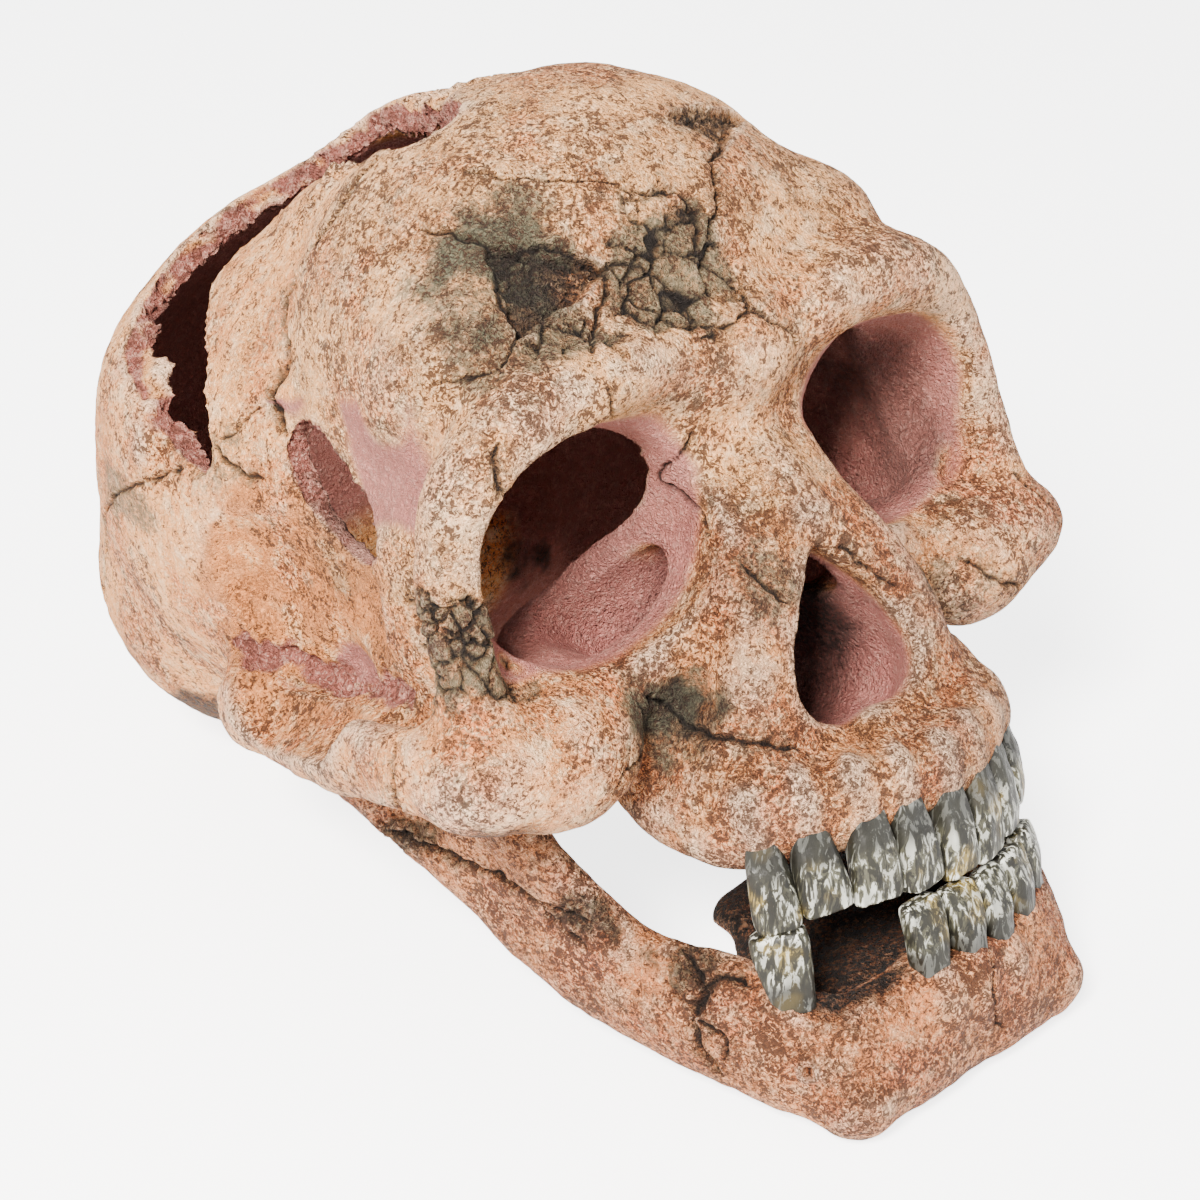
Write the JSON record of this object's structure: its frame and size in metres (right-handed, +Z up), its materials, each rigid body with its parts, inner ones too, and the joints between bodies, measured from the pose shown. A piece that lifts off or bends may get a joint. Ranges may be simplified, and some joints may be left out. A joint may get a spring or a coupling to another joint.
{
  "type": "hollow resin skull ornament",
  "caption": "Hollow painted resin ornament in the shape of a heavy-browed, human-like skull with a closed jaw, broken vault and open eye sockets.",
  "frame": {"origin": "centre of the bounding box, at the level of the flats that it rests on", "axes": "+Z up as it rests, -Y towards where the face looks, +X the skull's own left"},
  "size_m": [0.1525, 0.2258, 0.156],
  "materials": {
    "forehead": "painted cast resin, dry and slightly rough",
    "back_of_head": "painted cast resin, dry and slightly rough",
    "cheekbone_left": "painted cast resin, dry and slightly rough",
    "cheekbone_right": "painted cast resin, dry and slightly rough",
    "upper_jaw": "painted cast resin, dry and slightly rough",
    "lower_jaw": "painted cast resin, dry and slightly rough"
  },
  "bodies": {
    "root": {"forehead": "forehead", "back_of_head": "back_of_head", "cheekbone_left": "cheekbone_left", "cheekbone_right": "cheekbone_right", "upper_jaw": "upper_jaw", "lower_jaw": "lower_jaw"}
  },
  "joints": []
}
